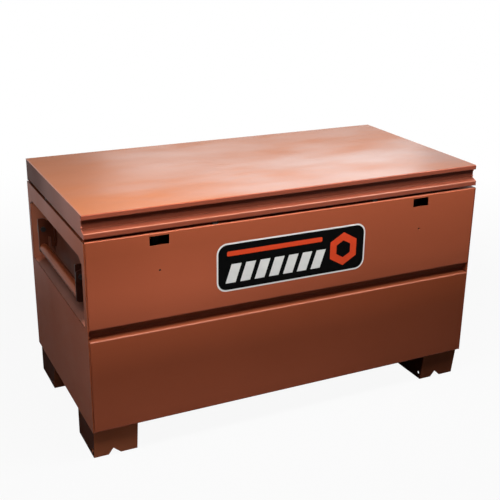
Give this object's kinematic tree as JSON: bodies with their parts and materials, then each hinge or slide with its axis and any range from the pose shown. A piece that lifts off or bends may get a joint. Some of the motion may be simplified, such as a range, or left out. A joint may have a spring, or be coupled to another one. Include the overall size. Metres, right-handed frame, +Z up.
{
  "type": "jobsite storage box",
  "caption": "Steel jobsite storage box with a hinged locking lid, grooved front, recessed bail handles in both ends and tapered sheet feet.",
  "frame": {"origin": "on the floor, in the middle of the box's width and overall depth", "axes": "+Z up, -Y out of the front, X along the width, right of a person facing the front is +X"},
  "size_m": [1.2192, 0.6176, 0.7049],
  "materials": {
    "body_paint": "metallic brown powder coat, satin",
    "lid_paint": "metallic brown powder coat, satin",
    "foot_paint": "brown powder coat, satin",
    "handle_paint": "brown powder coat, satin",
    "black_steel": "black oxide, dull",
    "label_vinyl": "satin vinyl label, for the pieces of a plain label on the front",
    "zinc": "zinc plated, dull",
    "rubber": "matt black"
  },
  "bodies": {
    "chest_body": {"front_panel": "body_paint", "back_panel": "body_paint", "floor_panel": "body_paint", "left_end_panel": "body_paint", "right_end_panel": "body_paint", "left_handle_pocket": "body_paint", "right_handle_pocket": "body_paint", "front_left_foot": "foot_paint", "front_right_foot": "foot_paint", "rear_left_foot": "foot_paint", "rear_right_foot": "foot_paint", "left_lock_housing": "black_steel", "right_lock_housing": "black_steel", "padlock_staples": "black_steel", "lid_bumpers": "rubber", "hinge_body_leaf": "body_paint", "hinge_pin": "zinc", "left_handle_brackets": "handle_paint", "right_handle_brackets": "handle_paint", "left_pivot_bolts": "black_steel", "right_pivot_bolts": "black_steel", "left_pivot_nuts": "black_steel", "right_pivot_nuts": "black_steel", "left_stay_stud": "zinc", "right_stay_stud": "zinc"},
    "lid": {"lid_panel": "lid_paint", "left_lid_end": "lid_paint", "right_lid_end": "lid_paint", "lid_stiffener": "lid_paint", "hinge_lid_leaf": "lid_paint", "left_lock_tongue": "black_steel", "right_lock_tongue": "black_steel", "left_stay_bracket": "body_paint", "right_stay_bracket": "body_paint", "left_stay_screw": "zinc", "right_stay_screw": "zinc"},
    "left_stay_bar": {"left_stay": "zinc"},
    "right_stay_bar": {"right_stay": "zinc"},
    "left_handle": {"left_handle_grip": "handle_paint", "left_handle_arms": "handle_paint"},
    "right_handle": {"right_handle_grip": "handle_paint", "right_handle_arms": "handle_paint"}
  },
  "joints": [
    {"name": "lid_hinge", "type": "hinge", "parent": "chest_body", "child": "lid", "pos_m": [0, 0.3048, 0.63925], "axis": [-1, 0, 0], "range_deg": [0, 95]},
    {"name": "left_stay_pivot", "type": "hinge", "parent": "lid", "child": "left_stay_bar", "pos_m": [-0.5462, 0.07084, 0.66136], "axis": [1, 0, 0], "range_deg": [0, 47.5]},
    {"name": "right_stay_pivot", "type": "hinge", "parent": "lid", "child": "right_stay_bar", "pos_m": [0.5462, 0.07084, 0.66136], "axis": [1, 0, 0], "range_deg": [0, 47.5]},
    {"name": "left_handle_pivot", "type": "hinge", "parent": "chest_body", "child": "left_handle", "pos_m": [-0.5941, -0.004, 0.51], "axis": [0, 1, 0], "range_deg": [-15, 90]},
    {"name": "right_handle_pivot", "type": "hinge", "parent": "chest_body", "child": "right_handle", "pos_m": [0.5941, -0.004, 0.51], "axis": [0, -1, 0], "range_deg": [-15, 90]}
  ],
  "couplings": [
    {"joint": "left_stay_pivot", "follows": "lid_hinge", "ratio": 0.5},
    {"joint": "right_stay_pivot", "follows": "lid_hinge", "ratio": 0.5}
  ]
}
